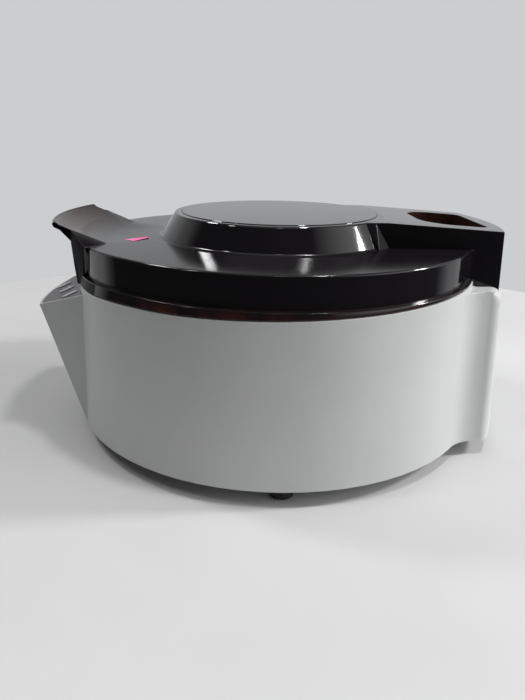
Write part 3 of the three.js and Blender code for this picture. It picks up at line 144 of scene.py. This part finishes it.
# Depth of the finest grain and of the slow waviness of the lid
GRAIN_DEPTH = 0.0001
WAVE_DEPTH = 0.002


def place_camera():
    """The photograph's viewpoint: position, direction, roll and focal length."""
    forward = CAMERA_FORWARD.normalized()
    right = forward.cross(Vector((0, 0, 1))).normalized()
    up = right.cross(forward)
    tilted_right = math.cos(CAMERA_ROLL) * right + math.sin(CAMERA_ROLL) * up
    tilted_up = -math.sin(CAMERA_ROLL) * right + math.cos(CAMERA_ROLL) * up
    turn = Matrix((tilted_right, tilted_up, -forward)).transposed()
    data = bpy.data.cameras.new("photo_camera")
    data.sensor_fit = "VERTICAL"
    data.sensor_height = CAMERA_SENSOR
    data.lens = CAMERA_LENS
    camera = bpy.data.objects.new("photo_camera", data)
    camera.matrix_world = Matrix.Translation(CAMERA_PLACE) @ turn.to_4x4()
    bpy.context.scene.collection.objects.link(camera)
    bpy.context.scene.camera = camera


class Tree:
    """Short way to add and join shader nodes."""

    def __init__(self, tree):
        self.tree = tree
        self.tree.nodes.clear()

    def add(self, kind, inputs=None, **settings):
        node = self.tree.nodes.new(kind)
        for key, value in settings.items():
            setattr(node, key, value)
        for key, value in (inputs or {}).items():
            self.join(value, node.inputs[key])
        return node

    def join(self, value, socket):
        if isinstance(value, bpy.types.NodeSocket):
            self.tree.links.new(value, socket)
        else:
            socket.default_value = value

    def place(self):
        """Coordinates that stay with the piece."""
        return self.add("ShaderNodeTexCoord").outputs["Object"]

    def axes(self):
        return self.add("ShaderNodeSeparateXYZ", {"Vector": self.place()}).outputs

    def noise(self, scale, detail=3.0, rough=0.5, vector=None):
        inputs = {"Vector": vector or self.place(), "Scale": scale, "Detail": detail, "Roughness": rough}
        return self.add("ShaderNodeTexNoise", inputs).outputs["Fac"]

    def ramp(self, factor, stops):
        node = self.add("ShaderNodeValToRGB", {"Fac": factor})
        elements = node.color_ramp.elements
        while len(elements) < len(stops):
            elements.new(0.5)
        for element, (position, color) in zip(elements, stops):
            element.position = position
            element.color = (*color, 1)
        return node.outputs["Color"]

    def spread(self, factor, low, high, from_low=0.0, from_high=1.0):
        inputs = {"Value": factor, "From Min": from_low, "From Max": from_high, "To Min": low, "To Max": high}
        return self.add("ShaderNodeMapRange", inputs).outputs["Result"]

    def math(self, operation, first, second=0.5):
        return self.add("ShaderNodeMath", {0: first, 1: second}, operation=operation).outputs["Value"]

    def mix(self, factor, first, second):
        node = self.add("ShaderNodeMix", data_type="RGBA")
        self.join(factor, node.inputs[0])
        for index, value in ((6, first), (7, second)):
            self.join(value if isinstance(value, bpy.types.NodeSocket) else (*value, 1), node.inputs[index])
        return node.outputs[2]

    def bump(self, height, strength, distance, normal=None):
        inputs = {"Height": height, "Strength": strength, "Distance": distance}
        if normal:
            inputs["Normal"] = normal
        return self.add("ShaderNodeBump", inputs).outputs["Normal"]

    def surface(self, **inputs):
        shader = self.add("ShaderNodeBsdfPrincipled", {k.replace("_", " "): v for k, v in inputs.items()})
        self.add("ShaderNodeOutputMaterial", {"Surface": shader.outputs["BSDF"]})


def new_material(name):
    material = bpy.data.materials.new(name)
    material.use_nodes = True
    return material, Tree(material.node_tree)


def moulded_plastic(name, dark, light, roughness, grain=900.0, relief=0.25, patch=18.0):
    """Moulded plastic: faint cloudiness, fine grain and a little uneven gloss."""
    material, tree = new_material(name)
    cloud = tree.noise(patch, 4.0, 0.6)
    fine = tree.noise(grain, 2.0, 0.5)
    tree.surface(
        Base_Color=tree.ramp(cloud, [(0.3, dark), (0.7, light)]),
        Roughness=tree.spread(cloud, roughness * 0.88, roughness * 1.12, 0.3, 0.7),
        Normal=tree.bump(fine, relief, GRAIN_DEPTH),
    )
    return material


def brushed_metal(name, dark, light, roughness, stretch, relief=0.2):
    """Metal with fine scratches drawn out along one direction."""
    material, tree = new_material(name)
    stretched = tree.add("ShaderNodeMapping", {"Vector": tree.place(), "Scale": stretch}).outputs["Vector"]
    lines = tree.noise(1.0, 4.0, 0.6, stretched)
    tree.surface(
        Base_Color=tree.ramp(lines, [(0.3, dark), (0.7, light)]),
        Metallic=1.0,
        Roughness=tree.spread(lines, roughness * 0.8, roughness * 1.2, 0.3, 0.7),
        Normal=tree.bump(lines, relief, GRAIN_DEPTH),
    )
    return material


def smoked_plastic(name, ior):
    """Smoked lid: near black and glossy, with painted red-brown light shining through the thin rim, the hand
    recess and the up-facing top of the grip lip over the plastic's own tint, and fine dust.
    """
    material, tree = new_material(name)
    axes = tree.axes()
    normal = tree.add("ShaderNodeTexCoord").outputs["Normal"]
    facing = tree.add("ShaderNodeSeparateXYZ", {"Vector": normal}).outputs
    upward = tree.spread(facing["Z"], 0.0, 1.0, *LOOKS_UP)
    # painted light: red-brown light shining through the thin lower rim, in patches
    thin_rim = tree.spread(axes["Z"], 1.0, 0.0, *RIM_TOP)
    thin_rim = tree.math("MULTIPLY", thin_rim, tree.spread(axes["Y"], 1.0, 0.0, *RIM_BACK))
    patches = tree.noise(26.0, 3.0, 0.6)
    glow = tree.math("MULTIPLY", thin_rim, tree.spread(patches, 0.0, 1.0, 0.42, 0.68))
    # painted light: the up-facing top of the grip lip painted lighter red-brown, light on it and through it
    lip = tree.math("MULTIPLY", tree.spread(axes["Y"], 1.0, 0.0, *LIP_START), upward)
    # painted light: red-brown light shining through the floor and walls of the hand recess
    behind = tree.math("ABSOLUTE", tree.math("SUBTRACT", axes["Y"], RECESS_Y))
    aside = tree.math("ABSOLUTE", axes["X"])
    below = tree.spread(axes["Z"], 1.0, 0.0, *RECESS_TOP)
    sunk = tree.math("MAXIMUM", below, tree.spread(facing["Z"], 1.0, 0.0, *LOOKS_ROUGHLY_UP))
    across = tree.math("MULTIPLY", sunk, tree.spread(aside, 1.0, 0.0, *RECESS_HALF_WIDTH))
    recess = tree.math("MULTIPLY", tree.spread(behind, 1.0, 0.0, *RECESS_HALF_LENGTH), across)
    body = tree.mix(recess, tree.mix(glow, SMOKE, SMOKE_GLOW), SMOKE_RECESS)
    flat = tree.math("MULTIPLY", upward, tree.spread(axes["Z"], 1.0, 0.0, *FLAT_TOP))
    dust = tree.spread(tree.noise(2600.0, 1.0, 0.4), 0.05, 0.11, 0.45, 0.75)
    gloss = tree.math("ADD", dust, tree.math("MULTIPLY", lip, LIP_ROUGHNESS))
    tree.surface(
        Base_Color=tree.mix(lip, body, SMOKE_LIP),
        Roughness=tree.math("ADD", gloss, tree.math("MULTIPLY", flat, FLAT_ROUGHNESS)),
        IOR=ior,
        Normal=tree.bump(tree.noise(14.0, 1.0, 0.4), 0.06, WAVE_DEPTH),
    )
    return material


def satin_and_shade_underside():
    """The same plastic left satin below and beside the grip lip, with painted shade: a darker colour and
    weaker reflection than the rest of the lid.
    """
    material, tree = new_material("smoked_satin_and_shade")
    cloud = tree.noise(40.0, 3.0, 0.6)
    tree.surface(
        # near-black colour and low IOR: painted shade under and beside the grip lip
        Base_Color=tree.ramp(cloud, [(0.35, (0.0016, 0.0013, 0.0016)), (0.7, (0.0026, 0.0019, 0.0022))]),
        Roughness=tree.spread(cloud, 0.3, 0.4, 0.3, 0.7),
        IOR=1.14,
        Normal=tree.bump(tree.noise(1100.0, 2.0, 0.5), 0.2, GRAIN_DEPTH),
    )
    return material


MATERIALS = {
    "housing": moulded_plastic(
        "housing_plastic", (0.545, 0.555, 0.55), (0.575, 0.585, 0.58), 0.4, 900.0, 0.12,
    ),
    "smoked": smoked_plastic("smoked_lid", 1.5),
    "panel": moulded_plastic("panel_overlay", (0.085, 0.08, 0.092), (0.1, 0.094, 0.108), 0.42, 1400.0, 0.15),
    "button": moulded_plastic("key_plastic", (0.62, 0.6, 0.62), (0.7, 0.67, 0.69), 0.45),
    "rubber": moulded_plastic("black_rubber", (0.012, 0.012, 0.012), (0.022, 0.022, 0.022), 0.75, 700.0, 0.5),
    "steel": brushed_metal("sheet_steel", (0.42, 0.43, 0.44), (0.56, 0.57, 0.58), 0.32, (60.0, 900.0, 60.0)),
    "bowl": brushed_metal("spun_steel", (0.5, 0.51, 0.52), (0.62, 0.63, 0.64), 0.28, (40.0, 40.0, 1200.0)),
    "aluminium": brushed_metal(
        "satin_aluminium", (0.6, 0.61, 0.62), (0.7, 0.71, 0.72), 0.34, (500.0, 500.0, 500.0),
    ),
    "motor": moulded_plastic("motor_paint", (0.04, 0.041, 0.045), (0.06, 0.062, 0.066), 0.45, 500.0, 0.4),
    "board": moulded_plastic("circuit_board", (0.012, 0.09, 0.04), (0.018, 0.12, 0.05), 0.35, 1200.0, 0.2),
    "black": moulded_plastic("black_plastic", (0.01, 0.01, 0.011), (0.016, 0.016, 0.017), 0.42, 900.0, 0.35),
}
# satin copy of the lid plastic, painted darker as shade
SATIN_AND_SHADE = satin_and_shade_underside()
DULL = smoked_plastic("smoked_top", 1.27)
LINER = moulded_plastic(
    "liner_plastic", (0.014, 0.0085, 0.0085), (0.024, 0.0125, 0.0115), 0.24, 1300.0, 0.15, 9.0,
)
STICKER = moulded_plastic("pink_paper", (0.95, 0.16, 0.42), (1.0, 0.2, 0.47), 0.6, 1800.0, 0.3)


def dress_nodes():
    """Every CAD node takes the material of its slot."""
    for name, slot in node_slot.items():
        piece = nodes[name]
        piece.data.materials.clear()
        piece.data.materials.append(MATERIALS[slot])


def finish_piece(name, shape, material, body):
    """Turns a bmesh into a shown piece that rides on a body."""
    mesh = bpy.data.meshes.new(name)
    shape.to_mesh(mesh)
    shape.free()
    mesh.materials.append(material)
    piece = bpy.data.objects.new(name, mesh)
    bpy.context.scene.collection.objects.link(piece)
    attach(piece, body)
    return piece


def skin(node, rounding, material=None):
    """Smooth skin of a CAD solid with its outer edges rounded."""
    shape = bmesh.new()
    shape.from_mesh(nodes[node].data)
    bmesh.ops.remove_doubles(shape, verts=shape.verts[:], dist=MERGE)
    bmesh.ops.dissolve_limit(shape, angle_limit=FLAT, verts=shape.verts[:], edges=shape.edges[:])
    bmesh.ops.triangulate(shape, faces=[f for f in shape.faces if len(f.verts) > 4])
    if rounding:
        edges = [e for e in shape.edges if takes_rounding(e)]
        bmesh.ops.bevel(
            shape, geom=edges, offset=rounding, offset_type="OFFSET", segments=ROUND_STEPS,
            profile=0.5, affect="EDGES", clamp_overlap=False,
        )
    for face in shape.faces:
        face.smooth = True
    for edge in shape.edges:
        edge.smooth = len(edge.link_faces) != 2 or edge.calc_face_angle(0.0) < CREASE
    piece = finish_piece(node + "_skin", shape, material or MATERIALS[node_slot[node]], node_body[node])
    weighted = piece.modifiers.new("even_normals", "WEIGHTED_NORMAL")
    weighted.keep_sharp = True
    weighted.weight = NORMAL_WEIGHT
    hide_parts(node)
    return piece


def takes_rounding(edge):
    """True for a sharp outer edge, away from the cooling slits."""
    if len(edge.link_faces) != 2 or not edge.is_convex or edge.calc_face_angle(0.0) <= SHARP:
        return False
    middle = (edge.verts[0].co + edge.verts[1].co) / 2
    return middle.y < AXIS_Y + SLITS_Y or middle.x > SLITS_X or middle.z > SLITS_TOP


def make_skins():
    """Skins for the nodes that show, each with the radius of its edges."""
    roundings = {
        "lid_shell": 0.0005, "housing_shell": 0.0006, "dome_disc": 0.0002, "control_panel": 0.0002,
        "panel_button_1": 0.0004, "panel_button_2": 0.0004, "panel_button_3": 0.0004, "lid_liner": 0.0,
        "chamber_bowl": 0.0, "bowl_gasket": 0.0, "rotor_spider": 0.0004, "rotor_knob": 0.0004,
        "latch_strike": 0.0, "hinge_bracket_left": 0.0003, "hinge_bracket_right": 0.0003,
        "power_inlet": 0.0002, "power_rocker": 0.0003, "switch_frame": 0.0002,
        **{f"tube_holder_{i}": 0.0003 for i in range(1, 7)}, **{f"foot_{i}": 0.0004 for i in range(1, 5)},
    }
    for node, rounding in roundings.items():
        piece = skin(node, rounding, LINER if node == "lid_liner" else None)
        if node == "lid_shell":
            satin_and_shade_prow(piece)
            dull_top(piece)


def satin_and_shade_prow(piece):
    """Gives the sides and underside of the grip lip their satin finish with painted shade."""
    mesh = piece.data
    mesh.materials.append(SATIN_AND_SHADE)
    for face in mesh.polygons:
        center, normal = face.center, face.normal
        if center.y < AXIS_Y - SATIN_SHADE_REACH and normal.z < SATIN_SHADE_FACING and normal.y < SATIN_SHADE_BACK:
            outside = math.hypot(center.x, center.y - AXIS_Y) > PROW_START or center.z > PROW_HEIGHT
            face.material_index = 1 if outside else 0


def dull_top(piece):
    """Gives the flat top of the lid and of the grip lip a duller finish than the dome's."""
    mesh = piece.data
    mesh.materials.append(DULL)
    for face in mesh.polygons:
        low = face.center.z < TOP_LEVEL or face.center.y < AXIS_Y - TOP_REACH
        if low and face.normal.z > TOP_FACING:
            face.material_index = 2


def facets():
    """Steep facets in the corners between the slope of the dome and the sides of the bridge."""
    for side, name in ((1, "facet_right"), (-1, "facet_left")):
        shape = bmesh.new()
        for x, y, z in FACET_OUTER + FACET_INNER:
            shape.verts.new((side * x, AXIS_Y + y, z))
        bmesh.ops.convex_hull(shape, input=shape.verts[:])
        bmesh.ops.dissolve_limit(shape, angle_limit=FLAT, verts=shape.verts[:], edges=shape.edges[:])
        bmesh.ops.recalc_face_normals(shape, faces=shape.faces[:])
        edges = [e for e in shape.edges if e.calc_face_angle(0.0) > FLAT]
        bmesh.ops.bevel(
            shape, geom=edges, offset=FACET_ROUNDING, offset_type="OFFSET", segments=ROUND_STEPS,
            profile=0.5, affect="EDGES",
        )
        finish_piece(name, shape, MATERIALS["smoked"], "lid")


def sticker():
    """Blank pink label on the lid, one corner a little lifted."""
    shape = bmesh.new()
    corners = [
        shape.verts.new((x, AXIS_Y + y, LABEL_TOP + up)) for (x, y), up in zip(LABEL_PLAN, LABEL_LIFT)
    ]
    shape.faces.new(corners)
    bmesh.ops.subdivide_edges(shape, edges=shape.edges[:], cuts=LABEL_CUTS, use_grid_fill=True)
    bmesh.ops.solidify(shape, geom=shape.faces[:], thickness=LABEL_THICKNESS)
    bmesh.ops.recalc_face_normals(shape, faces=shape.faces[:])
    finish_piece("blank_label", shape, STICKER, "lid")


def round_floor():
    """Pale round table top."""
    shape = bmesh.new()
    bmesh.ops.create_circle(shape, cap_ends=True, radius=FLOOR_RADIUS, segments=FLOOR_STEPS)
    mesh = bpy.data.meshes.new("floor")
    shape.to_mesh(mesh)
    shape.free()
    paint = moulded_plastic("floor_paint", (0.6, 0.6, 0.6), (0.64, 0.64, 0.64), 0.6, 300.0, 0.05, 4.0)
    mesh.materials.append(paint)
    floor = bpy.data.objects.new("floor", mesh)
    bpy.context.scene.collection.objects.link(floor)


def room():
    """World: a bright wall behind, a paler one on the right, and a dim room in front."""
    world = bpy.data.worlds.new("studio")
    bpy.context.scene.world = world
    world.use_nodes = True
    tree = Tree(world.node_tree)
    direction = tree.add("ShaderNodeTexCoord").outputs["Generated"]
    axes = tree.add("ShaderNodeSeparateXYZ", {"Vector": direction}).outputs
    behind = tree.spread(axes["X"], 1.0, 0.0, *WALL_SIDE)
    wall = tree.math("MULTIPLY", behind, tree.spread(axes["Z"], 1.0, 0.0, *WALL_TOP))
    colour = tree.mix(wall, ROOM_DARK, ROOM_WALL)
    right = tree.spread(axes["Y"], 0.0, 1.0, *RIGHT_START)
    over = tree.spread(axes["Z"], 0.0, 1.0, *RIGHT_LOW)
    ahead = tree.spread(axes["X"], 0.0, 1.0, *RIGHT_AHEAD)
    side = tree.math("MULTIPLY", ahead, tree.math("MULTIPLY", right, over))
    colour = tree.mix(side, colour, ROOM_RIGHT)
    colour = tree.mix(tree.spread(axes["Z"], 0.0, 1.0, *CEILING_START), colour, ROOM_CEILING)
    back = tree.add("ShaderNodeBackground", {"Color": colour, "Strength": 1.0})
    tree.add("ShaderNodeOutputWorld", {"Surface": back.outputs["Background"]})


def lamp(name, place, size, power, glossy):
    """Soft square lamp aimed at the middle of the lid."""
    data = bpy.data.lights.new(name, "AREA")
    data.size = size
    data.energy = power
    lamp_object = bpy.data.objects.new(name, data)
    lamp_object.location = place
    lamp_object.visible_glossy = glossy
    aim = Vector(LAMP_AIM) - Vector(place)
    lamp_object.rotation_euler = aim.to_track_quat("-Z", "Y").to_euler()
    bpy.context.scene.collection.objects.link(lamp_object)


place_camera()
dress_nodes()
make_skins()
facets()
sticker()
round_floor()
room()
for entry in LAMPS:
    lamp(*entry)
bpy.context.scene.view_settings.view_transform = "Standard"
